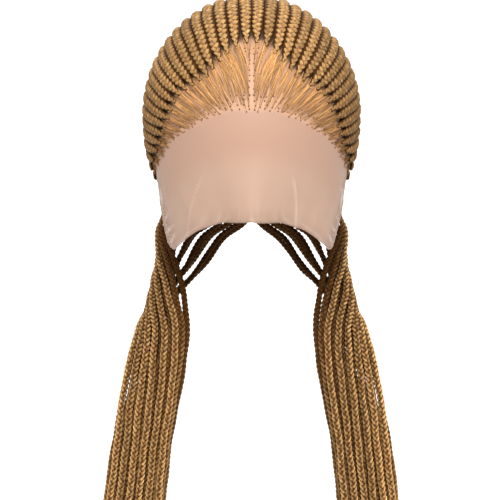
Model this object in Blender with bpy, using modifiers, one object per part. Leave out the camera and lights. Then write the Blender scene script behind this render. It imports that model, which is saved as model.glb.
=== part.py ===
"""Braid wig: a full lace wig with forty cornrows that run back from the hairline
and hang on as three-strand braids, drawn forward over both shoulders.

Units are metres. +X is the viewer's right, the face looks along -Y and +Z is up.
The origin is inside the crown of the cap, where the top of a head touches it.
"""

import math

import bmesh
import bpy
import numpy as np

# Head that the cap is made for, a 560 mm girth, measured inside the lace
HEAD_HALF_WIDTH = 0.077
HEAD_HALF_LENGTH = 0.096
HEAD_RISE = 0.084
HEAD_DROP = 0.135
FACE_DROP = 0.260
FACE_BLEND = 0.45

# Lace
LACE_THICKNESS = 0.0011
SEAM_REACH = 75.0
SEAM_GAP = 0.0004
EAR_TURN = 128.0
CAP_MARGIN = 0.0015
CAP_COLUMNS = 32
CAP_RINGS = 8
LACE_COLUMNS = 24
LACE_RINGS = 8
NOSE_LIFT = 0.012
NOSE_HALF_WIDTH = 0.020
HEM_DROP = -0.060

# Rows of braids, counted from the parting to the ear on each side
ROWS_PER_SIDE = 20
ROW_STEPS = 24
FIRST_TURN = 3.1
ROW_TURN = 6.35
BEND_REACH = 88.0
BEND_HANDLE = 0.46
FIRST_EDGE_X = 0.0029
LAST_EDGE_BEARING = 79.0

# Braid sizes
LEAD_RADIUS = 0.0007
START_RADIUS = 0.0025
FULL_RADIUS = 0.0046
HANGING_RADIUS = 0.0026
TIP_RADIUS = 0.0012
GROWTH_LENGTH = 0.046
ROOM_SHARE = 0.43
SEAT_CLEARANCE = 0.0011
TIP_STAGGER = 0.014
TIP_WAVE = 2.4
TIP_PHASE = 0.7

# Stations of a row on the cap: one for each of these lengths, and one for each of these turns
STATION_LENGTH = 0.034
STATION_TURN = 42.0

# Reach back from the front axis where hair and cornrow start, by turn from the top to the ear
HAIRLINE = (
    # turn, hairline reach, cornrow reach
    (0, 15.0, 48.0),
    (10, 15.0, 45.5),
    (20, 16.0, 40.5),
    (35, 18.0, 36.0),
    (50, 20.0, 38.5),
    (60, 22.5, 42.0),
    (80, 30.0, 44.5),
    (95, 43.0, 50.0),
    (104, 52.0, 58.0),
    (112, 63.0, 68.0),
    (120, 78.0, 82.0),
    (128, 85.0, 88.0),
)

# Lower edge of the cap, by bearing from straight back, in height from the head's middle
CAP_EDGE = (
    # bearing, height
    (0, -0.088),
    (30, -0.087),
    (55, -0.080),
    (72, -0.066),
    (90, -0.057),
)

# Lower edge of the loose front lace, by the turn of the seam that it hangs from
LACE_HEM = (
    # seam turn, bearing from the front, height
    (0, 0, -0.056),
    (30, 13, -0.060),
    (60, 27, -0.071),
    (80, 36, -0.081),
    (100, 49, -0.095),
    (115, 61, -0.099),
    (128, 71, -0.090),
)

# Sections of the hanging braids, from the nape round the neck to below the shoulder
SECTIONS = (
    # first row x, y, z; last row x, y, z; layer pitch; bow; radius
    (0.0410, 0.0590, -0.2310, 0.0640, 0.0060, -0.2020, 0.0046, 0.014, 0.0023),
    (0.0650, 0.0360, -0.2510, 0.0560, -0.0040, -0.2280, 0.0056, 0.012, 0.0025),
    (0.0835, 0.0060, -0.2710, 0.0520, -0.0220, -0.2560, 0.0058, 0.008, 0.0026),
    (0.0975, -0.0220, -0.3000, 0.0570, -0.0390, -0.2930, 0.0058, 0.005, 0.0026),
    (0.1065, -0.0420, -0.3370, 0.0650, -0.0500, -0.3350, 0.0058, 0.003, 0.0026),
    (0.1175, -0.0550, -0.4110, 0.0740, -0.0590, -0.4110, 0.0058, 0.003, 0.0026),
    (0.1240, -0.0580, -0.5320, 0.0785, -0.0620, -0.5320, 0.0058, 0.003, 0.0026),
)
PITCH, BOW, RADIUS = 6, 7, 8

LOOSE_DROP = 0.013
LOOSE_RADIUS = 0.0021
NAPE_BULGE = 0.006
NAPE_LAYER_PITCH = 0.0024
LAYERS = 3
NECK_GAP = 0.0007
SETTLE_ROUNDS = 100
SETTLE_SAMPLES = 5
SETTLE_SHARE = 0.175

HAIR_GOLD = (0.42, 0.235, 0.10, 1.0)
LACE_SKIN = (0.72, 0.50, 0.40, 1.0)
PIECE_FINISH = {
    "hair": {"Base Color": HAIR_GOLD, "Roughness": 0.5, "Metallic": 0.0},
    "lace": {"Base Color": LACE_SKIN, "Roughness": 0.8, "Metallic": 0.0},
}


def unit(vectors):
    """The same vectors, each one long."""
    return vectors / np.linalg.norm(vectors, axis=-1, keepdims=True)


def column(table, index):
    return [row[index] for row in table]


def ease(value):
    """0 to 1 with level ends."""
    share = np.clip(value, 0.0, 1.0)
    return share * share * (3.0 - 2.0 * share)


def fan_direction(turn, reach):
    """Direction from the middle of the head, fanned about the front axis."""
    turn, reach = np.radians(turn), np.radians(reach)
    across = np.sin(reach)
    return np.stack([across * np.sin(turn), -np.cos(reach), across * np.cos(turn)], axis=-1)


def on_scalp(directions, lift):
    """Points over the scalp in these directions, raised square to it by lift."""
    directions = unit(np.asarray(directions, float))
    front = ease(-directions[..., 1] / FACE_BLEND)
    drop = HEAD_DROP + (FACE_DROP - HEAD_DROP) * front
    height = np.where(directions[..., 2] >= 0.0, HEAD_RISE, drop)
    width = np.full_like(height, HEAD_HALF_WIDTH)
    length = np.full_like(height, HEAD_HALF_LENGTH)
    radii = np.stack([width, length, height], axis=-1)
    points = directions / np.linalg.norm(directions / radii, axis=-1, keepdims=True)
    normals = unit(points / radii**2)
    middle = np.array([0.0, 0.0, -HEAD_RISE])
    return points + normals * np.asarray(lift)[..., None] + middle


def edge_direction(bearing):
    """Direction of the cap's lower edge at a bearing from straight back."""
    height = np.interp(bearing, column(CAP_EDGE, 0), column(CAP_EDGE, 1))
    angle = np.radians(bearing)
    level = np.sqrt(1.0 - (height / HEAD_DROP) ** 2)
    around = np.stack([np.sin(angle), np.cos(angle)], axis=-1)
    oval = np.array([HEAD_HALF_WIDTH, HEAD_HALF_LENGTH])
    reach = level / np.linalg.norm(around / oval, axis=-1)
    return np.stack([around[..., 0] * reach, around[..., 1] * reach, height], axis=-1)


def edge_bearing(turn):
    """Bearing at which the row of this turn leaves the cap, evenly along its edge."""
    bearings = np.linspace(0.0, LAST_EDGE_BEARING + 8.0, 200)
    points = edge_direction(bearings)
    steps = np.linalg.norm(np.diff(points, axis=0), axis=1)
    along = np.concatenate([[0.0], np.cumsum(steps)])
    last = np.interp(LAST_EDGE_BEARING, bearings, along)
    pitch = (last - FIRST_EDGE_X) / (ROWS_PER_SIDE - 1)
    place = FIRST_EDGE_X + pitch * (turn - FIRST_TURN) / ROW_TURN
    return np.sign(place) * np.interp(abs(place), along, bearings)


def mirrored(points, side):
    return points * np.array([side, 1.0, 1.0])


def row_directions(turn, first_reach):
    """Directions along one row, from first_reach to the cap's edge: over the
    crown in the plane of its turn, then down to its place on the edge."""
    fan = fan_direction(turn, np.linspace(first_reach, BEND_REACH, ROW_STEPS, endpoint=False))
    start = fan_direction(turn, np.array([BEND_REACH]))[0]
    bearing = edge_bearing(turn)
    end = unit(mirrored(edge_direction(abs(bearing)), 1.0 if bearing >= 0 else -1.0))
    handle = BEND_HANDLE * np.linalg.norm(end - start)
    upward = unit(np.array([0.0, 0.0, 1.0]) - end[2] * end)
    outgoing = start + handle * np.array([0.0, 1.0, 0.0])
    incoming = end + handle * upward
    share = np.linspace(0.0, 1.0, 2 * ROW_STEPS)[:, None]
    back = (
        (1 - share) ** 3 * start
        + 3 * (1 - share) ** 2 * share * outgoing
        + 3 * (1 - share) * share**2 * incoming
        + share**3 * end
    )
    return unit(np.concatenate([fan, back]))


def lengths_along(points):
    steps = np.linalg.norm(np.diff(points, axis=0), axis=1)
    return np.concatenate([[0.0], np.cumsum(steps)])


def spread_stops(points, along):
    """Lengths along a row to put its stations at, closer where it turns."""
    heading = unit(np.diff(points, axis=0))
    cosines = np.clip(np.sum(heading[1:] * heading[:-1], axis=1), -1.0, 1.0)
    turned = np.concatenate([[0.0], np.cumsum(np.degrees(np.arccos(cosines))), [0.0]])
    turned[-1] = turned[-2]
    need = along / STATION_LENGTH + turned / STATION_TURN
    return np.interp(np.linspace(0.0, need[-1], max(3, round(need[-1]) + 1)), need, along)


def dome_run(row):
    """Points and radii of a row on the cap's right half, hairline to lower edge."""
    turn = FIRST_TURN + ROW_TURN * row
    first = np.interp(turn, column(HAIRLINE, 0), column(HAIRLINE, 1))
    begin = np.interp(turn, column(HAIRLINE, 0), column(HAIRLINE, 2))
    centre = row_directions(turn, first)
    beside = [row_directions(turn + part * ROW_TURN, first) for part in (-0.5, 0.5)]
    ground = on_scalp(centre, np.full(len(centre), FULL_RADIUS))
    sides = [on_scalp(directions, np.full(len(centre), FULL_RADIUS)) for directions in beside]
    along = lengths_along(ground)
    tangent = unit(np.gradient(ground, axis=0))
    across = sides[1] - sides[0]
    across = across - tangent * np.sum(across * tangent, axis=1, keepdims=True)
    room = ROOM_SHARE * np.linalg.norm(across, axis=1)
    reach = np.linspace(first, BEND_REACH, ROW_STEPS, endpoint=False)
    begin_at = np.interp(begin, reach, along[:ROW_STEPS])
    grown = START_RADIUS + (FULL_RADIUS - START_RADIUS) * (along - begin_at) / GROWTH_LENGTH
    lead = LEAD_RADIUS + (START_RADIUS - LEAD_RADIUS) * along / max(begin_at, 1e-4)
    radii = np.where(along < begin_at, lead, np.minimum(grown, FULL_RADIUS))
    radii = np.minimum(radii, room)
    lift = LACE_THICKNESS + SEAT_CLEARANCE + radii
    return on_scalp(centre, lift), radii


def bowed_section(section, shares):
    """The rows' places on a hanging section, bowed out between its two ends."""
    first, last = np.array(section[0:3]), np.array(section[3:6])
    across = last - first
    outward = unit(np.array([-across[1], across[0], 0.0]))
    outward = outward * (1.0 if outward[0] > outward[1] else -1.0)
    bow = section[BOW] * 4.0 * shares * (1.0 - shares)
    return first + across * shares[:, None] + outward * bow[:, None]


def layered(sheet):
    """The sheet of rows set out in layers, square to itself and away from the neck."""
    across = np.gradient(sheet, axis=0)
    along = np.gradient(sheet, axis=1)
    outward = unit(np.cross(across, along))
    layer = (ROWS_PER_SIDE - 1 - np.arange(ROWS_PER_SIDE)) % LAYERS
    pitch = np.array([0.0, 0.0, NAPE_LAYER_PITCH] + column(SECTIONS, PITCH))
    return sheet + outward * (layer[:, None] * pitch[None, :])[..., None]


def in_between(stations, samples):
    """Values along each row, straight between those of its stations."""
    share = (np.arange(samples) / samples)[None, None, :, None]
    return stations[:, :-1, None] * (1.0 - share) + stations[:, 1:, None] * share


def settled(stations, radii):
    """The rows' stations eased apart until all have room, and clear of the other half.
    The ends on the cap stay."""
    share = np.arange(SETTLE_SAMPLES) / SETTLE_SAMPLES
    rows, segments = stations.shape[0], stations.shape[1] - 1
    thick = in_between(radii[..., None], SETTLE_SAMPLES)[..., 0].reshape(-1)
    owner = np.repeat(np.arange(rows), segments * SETTLE_SAMPLES)
    wanted = thick[:, None] + thick[None, :] + NECK_GAP
    wanted = wanted * (owner[:, None] != owner[None, :])
    for _ in range(SETTLE_ROUNDS):
        points = in_between(stations, SETTLE_SAMPLES).reshape(-1, 3)
        heading = np.repeat(unit(np.diff(stations, axis=1)), SETTLE_SAMPLES, axis=1).reshape(-1, 3)
        apart = points[:, None] - points[None, :]
        ahead = np.einsum("ijk,jk->ij", apart, heading)
        apart = apart - ahead[..., None] * heading[None, :]
        distance = np.linalg.norm(apart, axis=2) + 1e-9
        near = np.abs(ahead) < wanted
        push = np.where(near, np.maximum(wanted - distance, 0.0), 0.0) / distance
        move = np.einsum("ij,ijk->ik", push, apart) * SETTLE_SHARE
        move = move.reshape(rows, segments, SETTLE_SAMPLES, 3)
        change = np.zeros_like(stations)
        change[:, :-1] += np.einsum("rsnk,n->rsk", move, 1.0 - share)
        change[:, 1:] += np.einsum("rsnk,n->rsk", move, share)
        change[:, 0] = 0.0
        stations = stations + change
        stations[:, 1:, 0] = np.maximum(stations[:, 1:, 0], radii[:, 1:] + NECK_GAP)
    return stations


def all_runs():
    """Stations and radii of the right half's braids, hairline to tip."""
    domes = [dome_run(row) for row in range(ROWS_PER_SIDE)]
    shares = np.linspace(0.0, 1.0, ROWS_PER_SIDE)
    edge = np.array([points[-1] for points, _ in domes])
    heading = unit(edge - np.array([points[-3] for points, _ in domes]))
    heading = unit(heading + np.array([0.0, 0.0, -1.0]))
    sections = [bowed_section(section, shares) for section in SECTIONS]
    loose = edge + heading * LOOSE_DROP
    outward = unit((loose + sections[0]) * np.array([1.0, 1.0, 0.0]))
    nape = (loose + sections[0]) / 2.0 + outward * NAPE_BULGE
    sheet = np.stack([edge, loose, nape] + sections, axis=1)
    radii = np.tile([0.0, LOOSE_RADIUS, LOOSE_RADIUS] + column(SECTIONS, RADIUS), (ROWS_PER_SIDE, 1))
    radii[:, 0] = [sizes[-1] for _, sizes in domes]
    hanging = settled(layered(sheet), radii)
    hanging[:, -1, 2] += TIP_STAGGER * np.sin(TIP_WAVE * np.arange(ROWS_PER_SIDE) + TIP_PHASE)
    radii[:, -1] = TIP_RADIUS
    runs = []
    for (points, sizes), hung, hung_sizes in zip(domes, hanging, radii):
        along = lengths_along(points)
        stops = spread_stops(points, along)
        dome = np.stack([np.interp(stops, along, points[:, axis]) for axis in range(3)], axis=1)
        dome_sizes = np.interp(stops, along, sizes)
        places = np.concatenate([dome, hung[1:]])
        runs.append((places, np.concatenate([dome_sizes, hung_sizes[1:]])))
    return runs


def finish(name, kind):
    """The piece's own material."""
    material = bpy.data.materials.new(name)
    material.use_nodes = True
    shader = material.node_tree.nodes["Principled BSDF"]
    for socket, value in PIECE_FINISH[kind].items():
        shader.inputs[socket].default_value = value
    material.diffuse_color = PIECE_FINISH[kind]["Base Color"]
    return material


def add_braid(collection, name, places, radii):
    """A braid as one tapering tube from the hairline to the tip."""
    curve = bpy.data.curves.new(name, "CURVE")
    curve.dimensions = "3D"
    curve.bevel_depth = HANGING_RADIUS
    curve.bevel_resolution = 1
    curve.use_fill_caps = True
    path = curve.splines.new("POLY")
    path.points.add(len(places) - 1)
    for target, place, radius in zip(path.points, places, radii):
        target.co = (*place, 1.0)
        target.radius = radius / HANGING_RADIUS
    curve.materials.append(finish(name, "hair"))
    collection.objects.link(bpy.data.objects.new(name, curve))


def cap_point(turn, share):
    """A point on the inside of the cap: along its rows from the seam to the edge."""
    directions = row_directions(turn, SEAM_REACH)
    points = on_scalp(directions, np.zeros(len(directions)))
    along = lengths_along(points)
    stop = SEAM_GAP + (along[-1] + CAP_MARGIN - SEAM_GAP) * share
    if stop > along[-1]:
        return points[-1] + unit(points[-1] - points[-2]) * (stop - along[-1])
    return np.array([np.interp(stop, along, points[:, axis]) for axis in range(3)])


def lace_point(turn, share):
    """A point on the inside of the front lace: from the seam down to its hem."""
    start = fan_direction(abs(turn), np.array([SEAM_REACH]))[0]
    angle = math.radians(np.interp(abs(turn), column(LACE_HEM, 0), column(LACE_HEM, 1)))
    height = np.interp(abs(turn), column(LACE_HEM, 0), column(LACE_HEM, 2))
    level = math.sqrt(1.0 - (height / FACE_DROP) ** 2)
    around = np.array([math.sin(angle), -math.cos(angle)])
    reach = level / np.linalg.norm(around / np.array([HEAD_HALF_WIDTH, HEAD_HALF_LENGTH]))
    end = unit(np.array([around[0] * reach, around[1] * reach, height]))
    sweep = math.acos(float(np.clip(start @ end, -1.0, 1.0)))
    direction = (math.sin((1 - share) * sweep) * start + math.sin(share * sweep) * end) / math.sin(sweep)
    point = on_scalp(direction[None], np.zeros(1))[0]
    below = (point[2] + HEAD_RISE) / HEM_DROP
    ridge = NOSE_LIFT * ease(below) * math.exp(-((point[0] / NOSE_HALF_WIDTH) ** 2))
    return mirrored(point - np.array([0.0, ridge, 0.0]), 1.0 if turn >= 0 else -1.0)


def add_sheet(collection, name, columns, rows, place):
    """A lace wall: a grid laid over the head, then thickened outward."""
    grid = bmesh.new()
    bmesh.ops.create_grid(grid, x_segments=columns, y_segments=rows, size=1.0)
    for vertex in grid.verts:
        vertex.co = place(EAR_TURN * vertex.co.x, 0.5 - 0.5 * vertex.co.y)
    mesh = bpy.data.meshes.new(name)
    grid.to_mesh(mesh)
    grid.free()
    mesh.shade_smooth()
    mesh.materials.append(finish(name, "lace"))
    sheet = bpy.data.objects.new(name, mesh)
    wall = sheet.modifiers.new("lace thickness", "SOLIDIFY")
    wall.thickness = LACE_THICKNESS
    wall.offset = 1.0
    collection.objects.link(sheet)


def clear_scene():
    for leftover in list(bpy.data.objects):
        bpy.data.objects.remove(leftover, do_unlink=True)


def main():
    clear_scene()
    collection = bpy.data.collections.new("braid_wig")
    bpy.context.scene.collection.children.link(collection)
    add_sheet(collection, "lace_cap", CAP_COLUMNS, CAP_RINGS, cap_point)
    add_sheet(collection, "front_lace", LACE_COLUMNS, LACE_RINGS, lace_point)
    for row, (places, radii) in enumerate(all_runs()):
        for side, word in ((-1, "left"), (1, "right")):
            add_braid(collection, f"braid_{word}_{row + 1:02d}", mirrored(places, side), radii)


main()
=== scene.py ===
"""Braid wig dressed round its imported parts: plaited braids, hairline locks, knots and lace."""

import math

import bmesh
import bpy
import numpy as np
from bpy.props import FloatProperty, FloatVectorProperty, IntProperty, PointerProperty
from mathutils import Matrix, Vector


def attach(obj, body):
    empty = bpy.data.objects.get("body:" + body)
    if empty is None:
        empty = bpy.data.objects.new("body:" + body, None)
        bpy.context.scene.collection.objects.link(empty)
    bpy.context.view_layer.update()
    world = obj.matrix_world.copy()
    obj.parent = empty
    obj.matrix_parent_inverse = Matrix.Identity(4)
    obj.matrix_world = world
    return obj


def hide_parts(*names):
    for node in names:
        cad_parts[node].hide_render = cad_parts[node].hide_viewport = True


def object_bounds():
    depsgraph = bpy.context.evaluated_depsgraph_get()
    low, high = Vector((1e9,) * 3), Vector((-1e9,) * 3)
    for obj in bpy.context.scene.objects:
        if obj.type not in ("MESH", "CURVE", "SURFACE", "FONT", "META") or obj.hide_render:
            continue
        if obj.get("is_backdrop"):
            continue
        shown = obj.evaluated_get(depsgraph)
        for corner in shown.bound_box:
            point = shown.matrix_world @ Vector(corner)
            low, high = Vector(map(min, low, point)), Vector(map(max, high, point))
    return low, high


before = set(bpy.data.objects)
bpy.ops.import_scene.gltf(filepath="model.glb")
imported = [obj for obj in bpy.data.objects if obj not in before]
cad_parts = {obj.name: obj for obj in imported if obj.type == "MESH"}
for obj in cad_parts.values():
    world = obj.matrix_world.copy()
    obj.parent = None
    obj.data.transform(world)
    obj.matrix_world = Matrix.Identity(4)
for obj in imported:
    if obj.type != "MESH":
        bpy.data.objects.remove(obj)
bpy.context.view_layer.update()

bl_info = {
    "name": "Braid wig",
    "version": (1, 0, 0),
    "blender": (4, 5, 0),
    "location": "3D View > Sidebar > Braid wig",
    "description": "Plaits, hairline, knots and lace of a cornrow braid wig",
    "category": "Add Mesh",
}

FULL_TURN = 2.0 * math.pi

# Head that the cap is made for
HEAD_HALF_WIDTH = 0.077
HEAD_HALF_LENGTH = 0.096
HEAD_RISE = 0.084
HEAD_DROP = 0.135
FACE_DROP = 0.260
FACE_BLEND = 0.45

# Lace
LACE_THICKNESS = 0.0011
SEAM_REACH = 75.0
EAR_TURN = 128.0
CAP_MARGIN = 0.0015
NOSE_LIFT = 0.012
NOSE_HALF_WIDTH = 0.020
HEM_DROP = -0.060

# Rows of braids, counted from the parting to the ear on each side
ROWS_PER_SIDE = 20
ROW_STEPS = 24
FIRST_TURN = 3.1
ROW_TURN = 6.35
BEND_REACH = 88.0
BEND_HANDLE = 0.46
FIRST_EDGE_X = 0.0029
LAST_EDGE_BEARING = 79.0

# Braid sizes
START_RADIUS = 0.0025
FULL_RADIUS = 0.0046
TIP_RADIUS = 0.0012
GROWTH_LENGTH = 0.046
ROOM_SHARE = 0.43
SEAT_CLEARANCE = 0.0011
TIP_STAGGER = 0.014
TIP_WAVE = 2.4
TIP_PHASE = 0.7

# Reach back from the front axis where hair and cornrow start, by turn from the top to the ear
HAIRLINE = (
    # turn, hairline reach, cornrow reach
    (0, 15.0, 48.0),
    (10, 15.0, 45.5),
    (20, 16.0, 40.5),
    (35, 18.0, 36.0),
    (50, 20.0, 38.5),
    (60, 22.5, 42.0),
    (80, 30.0, 44.5),
    (95, 43.0, 50.0),
    (104, 52.0, 58.0),
    (112, 63.0, 68.0),
    (120, 78.0, 82.0),
    (128, 85.0, 88.0),
)

# Lower edge of the cap, by bearing from straight back, in height from the head's middle
CAP_EDGE = (
    # bearing, height
    (0, -0.088),
    (30, -0.087),
    (55, -0.080),
    (72, -0.066),
    (90, -0.057),
)

# Lower edge of the loose front lace, by the turn of the seam that it hangs from
LACE_HEM = (
    # seam turn, bearing from the front, height
    (0, 0, -0.056),
    (30, 13, -0.060),
    (60, 27, -0.071),
    (80, 36, -0.081),
    (100, 49, -0.095),
    (115, 61, -0.099),
    (128, 71, -0.090),
)

# Sections of the hanging braids, from the nape round the neck to below the shoulder
SECTIONS = (
    # first row x, y, z; last row x, y, z; layer pitch; bow; radius
    (0.0410, 0.0590, -0.2310, 0.0640, 0.0060, -0.2020, 0.0046, 0.014, 0.0023),
    (0.0650, 0.0360, -0.2510, 0.0560, -0.0040, -0.2280, 0.0056, 0.012, 0.0025),
    (0.0835, 0.0060, -0.2710, 0.0520, -0.0220, -0.2560, 0.0058, 0.008, 0.0026),
    (0.0975, -0.0220, -0.3000, 0.0570, -0.0390, -0.2930, 0.0058, 0.005, 0.0026),
    (0.1065, -0.0420, -0.3370, 0.0650, -0.0500, -0.3350, 0.0058, 0.003, 0.0026),
    (0.1175, -0.0550, -0.4110, 0.0740, -0.0590, -0.4110, 0.0058, 0.003, 0.0026),
    (0.1240, -0.0580, -0.5320, 0.0785, -0.0620, -0.5320, 0.0058, 0.003, 0.0026),
)
PITCH, BOW, RADIUS = 6, 7, 8
LOOSE_DROP = 0.013
LOOSE_RADIUS = 0.0021
NAPE_BULGE = 0.006
NAPE_LAYER_PITCH = 0.0024
LAYERS = 3
NECK_GAP = 0.0007
SETTLE_ROUNDS = 100
SETTLE_SAMPLES = 5
SETTLE_SHARE = 0.175

# Shape of a plait, as shares of its radius: on the cap, and hanging
SWING_SHARE = (0.46, 0.51)
WEAVE_SHARE = (0.26, 0.38)
STRAND_WIDE_SHARE = (0.57, 0.51)
STRAND_DEEP_SHARE = (0.37, 0.39)
# Reach of the painted crevice shade between strands, as a share of the radius: on the cap, and hanging
CREVICE_SHADE_REACH = (0.19, 0.53)
WEAVE_LEAD = (math.radians(36.0), math.radians(-36.0))
PLAIT_SHAPES = (
    SWING_SHARE,
    WEAVE_SHARE,
    STRAND_WIDE_SHARE,
    STRAND_DEEP_SHARE,
    CREVICE_SHADE_REACH,
    WEAVE_LEAD,
)
STRANDS = 3
HANG_SPAN = (-0.03, 0.06)

# Turn of a hanging plait about its line: least and most angle, half waves and shift, and where it starts
SWAY_LEAST = (0.15, 1.5, 0.0)
SWAY_MOST = (0.55, 4.0, 6.28)
SWAY_START = 0.25

# Unevenness of a plait: share of its size, and wave lengths of its size and of its line
PLAIT_UNEVEN = 0.05
UNEVEN_LENGTHS = (0.0047, 0.0131)
WOBBLE_LENGTHS = (0.0083, 0.021)

# Light painted into the plaits, by layer, row and distance below the cap
LAYER_LIGHT = (0.40, 0.64, 1.0)
CREVICE_FADE = 0.38
FLANK_SPAN = (-0.40, 0.59)
DOME_LIGHT = 0.68
ROW_SHADE = 0.33
NAPE_SHADE = (0.94, 0.76, 0.10)
NAPE_SHADE_FADE = 0.28
NAPE_DARK = 0.42
NAPE_DARK_FADE = 0.10
EAR_LIGHT = 0.8
EAR_ROWS = (14.0, 4.0)
EAR_LIGHT_FADE = 0.05
FACING_LENGTH = 0.11
FACING = np.array([0.0, 1.0, 0.0])

# Flat core of hair under a cornrow, as shares of its plait's size
CORE_DROP_SHARE = 0.12
CORE_WIDE_SHARE = 1.22
CORE_DEEP_SHARE = 0.38
CORE_RINGS = 90
# Painted light of the core: near the shade brown, as it lies in shade under the strands
CORE_LIGHT = 0.08
CORE_TONE = 0.5
CORE_TAPER = 0.6

# Seat and start of a plait on the cap
PLAIT_HEIGHT = 0.90
SEAT_RISE = 0.0020
ROUTE_STEP = 0.0015
RISE_LENGTH = 0.015
RISE_START = 0.40
SIDE_TURNS = (92.0, 22.0)
SIDE_RADIUS = 0.0036

# Loose fibre ends below a plait
TUFT_LENGTH = 0.012
TUFT_FIBRES = 9
TUFT_RINGS = 5
TUFT_SIDES = 4
TUFT_REACH = 1.3
TUFT_SPREAD = (0.6, 0.7)
TUFT_UNEVEN = 0.004
TUFT_WIDTH = 0.42
TUFT_TAPER = 0.75
TUFT_DEPTH = 0.8

# Knots: band distance, and how far a knot strays along and across its band
KNOT_BAND = 0.0032
KNOT_SLIP = 0.22
KNOT_STRAY = 0.6
KNOT_FLATNESS = 0.45

# Knots beside the parting, in files: first and last reach inside the hairline and the cornrows, and step
PARTING_REACH = (7.0, 2.0, 2.9)
PARTING_FILES = 2
PARTING_FILE_GAP = (0.0002, 0.0026)
PARTING_SLIP = 0.0005
PARTING_FILE_REACH = 1.4
PARTING_STRAY = 0.8

# Fine locks: how their roots spread, and how they lie
HEAD_RADIUS = (HEAD_HALF_WIDTH + HEAD_RISE) / 2.0
ROOT_SCATTER = np.array([0.35, 0.25])
LOCK_SPREAD = 0.56
FILL_REACH = 0.85
PARTING_ROWS = 2.2
PARTING_DRIFT = 1.8
PARTING_DEPTH = 33.0
LOCK_POINTS = 8
LOCK_SIDES = 4
LOCK_END_TURN = 1.4
LOCK_END_REACH = (1.0, 5.0)
LOCK_BEND = (0.7, 1.9)
LOCK_REST = (0.0002, 0.0007)
LOCK_ARCH = 0.0006
LOCK_END_LIFT = 0.8
LOCK_ROOT_SIZE = 0.55
LOCK_ROOT_LIGHT = 0.62
LOCK_TINT_SHARE = 0.6
LOCK_SIZES = (0.5, 1.6)
LOCK_FLATNESS = (1.3, 0.8)
DIM_LOCKS = 0.30
DIM_LOCK_LIGHT = 0.52
SIDE_LOCK_SHADE = 0.34
SIDE_LOCK_SPAN = (0.45, 0.45)


def unit(vectors):
    """The same vectors, each one long."""
    return vectors / np.linalg.norm(vectors, axis=-1, keepdims=True)


def column(table, index):
    return [row[index] for row in table]


def ease(value):
    """0 to 1 with level ends."""
    share = np.clip(value, 0.0, 1.0)
    return share * share * (3.0 - 2.0 * share)


def rise(values, span):
    """0 before the span's start, easing to 1 over its width."""
    return ease((values - span[0]) / span[1])


def sampled(at, stops, values):
    """Values of a route, given at its stops, at other lengths along it."""
    return np.stack([np.interp(at, stops, values[:, axis]) for axis in range(3)], axis=1)


def fan_direction(turn, reach):
    """Direction from the middle of the head, fanned about the front axis."""
    turn, reach = np.radians(turn), np.radians(reach)
    across = np.sin(reach)
    return np.stack([across * np.sin(turn), -np.cos(reach), across * np.cos(turn)], axis=-1)


def scalp(directions):
    """Points and outward normals of the scalp in these directions."""
    directions = unit(np.asarray(directions, float))
    front = ease(-directions[..., 1] / FACE_BLEND)
    drop = HEAD_DROP + (FACE_DROP - HEAD_DROP) * front
    height = np.where(directions[..., 2] >= 0.0, HEAD_RISE, drop)
    width = np.full_like(height, HEAD_HALF_WIDTH)
    length = np.full_like(height, HEAD_HALF_LENGTH)
    radii = np.stack([width, length, height], axis=-1)
    points = directions / np.linalg.norm(directions / radii, axis=-1, keepdims=True)
    return points + np.array([0.0, 0.0, -HEAD_RISE]), unit(points / radii**2)


def on_scalp(directions, lift):
    """Points over the scalp, raised square to it by lift."""
    points, normals = scalp(directions)
    return points + normals * np.asarray(lift)[..., None]


def edge_direction(bearing):
    """Direction of the cap's lower edge at a bearing from straight back."""
    height = np.interp(bearing, column(CAP_EDGE, 0), column(CAP_EDGE, 1))
    angle = np.radians(bearing)
    level = np.sqrt(1.0 - (height / HEAD_DROP) ** 2)
    around = np.stack([np.sin(angle), np.cos(angle)], axis=-1)
    oval = np.array([HEAD_HALF_WIDTH, HEAD_HALF_LENGTH])
    reach = level / np.linalg.norm(around / oval, axis=-1)
    return np.stack([around[..., 0] * reach, around[..., 1] * reach, height], axis=-1)


def edge_bearing(turn):
    """Bearing at which the row of this turn leaves the cap, evenly along its edge."""
    bearings = np.linspace(0.0, LAST_EDGE_BEARING + 8.0, 200)
    along = lengths_along(edge_direction(bearings))
    last = np.interp(LAST_EDGE_BEARING, bearings, along)
    pitch = (last - FIRST_EDGE_X) / (ROWS_PER_SIDE - 1)
    place = FIRST_EDGE_X + pitch * (turn - FIRST_TURN) / ROW_TURN
    return np.sign(place) * np.interp(abs(place), along, bearings)


def mirrored(points, side):
    return points * np.array([side, 1.0, 1.0])


def row_directions(turn, first_reach):
    """Directions along one row, from first_reach to the cap's edge."""
    fan = fan_direction(turn, np.linspace(first_reach, BEND_REACH, ROW_STEPS, endpoint=False))
    start = fan_direction(turn, np.array([BEND_REACH]))[0]
    bearing = edge_bearing(turn)
    end = unit(mirrored(edge_direction(abs(bearing)), 1.0 if bearing >= 0 else -1.0))
    handle = BEND_HANDLE * np.linalg.norm(end - start)
    upward = unit(np.array([0.0, 0.0, 1.0]) - end[2] * end)
    outgoing = start + handle * np.array([0.0, 1.0, 0.0])
    incoming = end + handle * upward
    share = np.linspace(0.0, 1.0, 2 * ROW_STEPS)[:, None]
    back = (
        (1 - share) ** 3 * start
        + 3 * (1 - share) ** 2 * share * outgoing
        + 3 * (1 - share) * share**2 * incoming
        + share**3 * end
    )
    return unit(np.concatenate([fan, back]))


def lengths_along(points):
    steps = np.linalg.norm(np.diff(points, axis=0), axis=1)
    return np.concatenate([[0.0], np.cumsum(steps)])


def row_turn(row):
    return FIRST_TURN + ROW_TURN * row


def hairline_reach(turn):
    return np.interp(turn, column(HAIRLINE, 0), column(HAIRLINE, 1))


def cornrow_reach(turn):
    return np.interp(turn, column(HAIRLINE, 0), column(HAIRLINE, 2))


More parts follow.
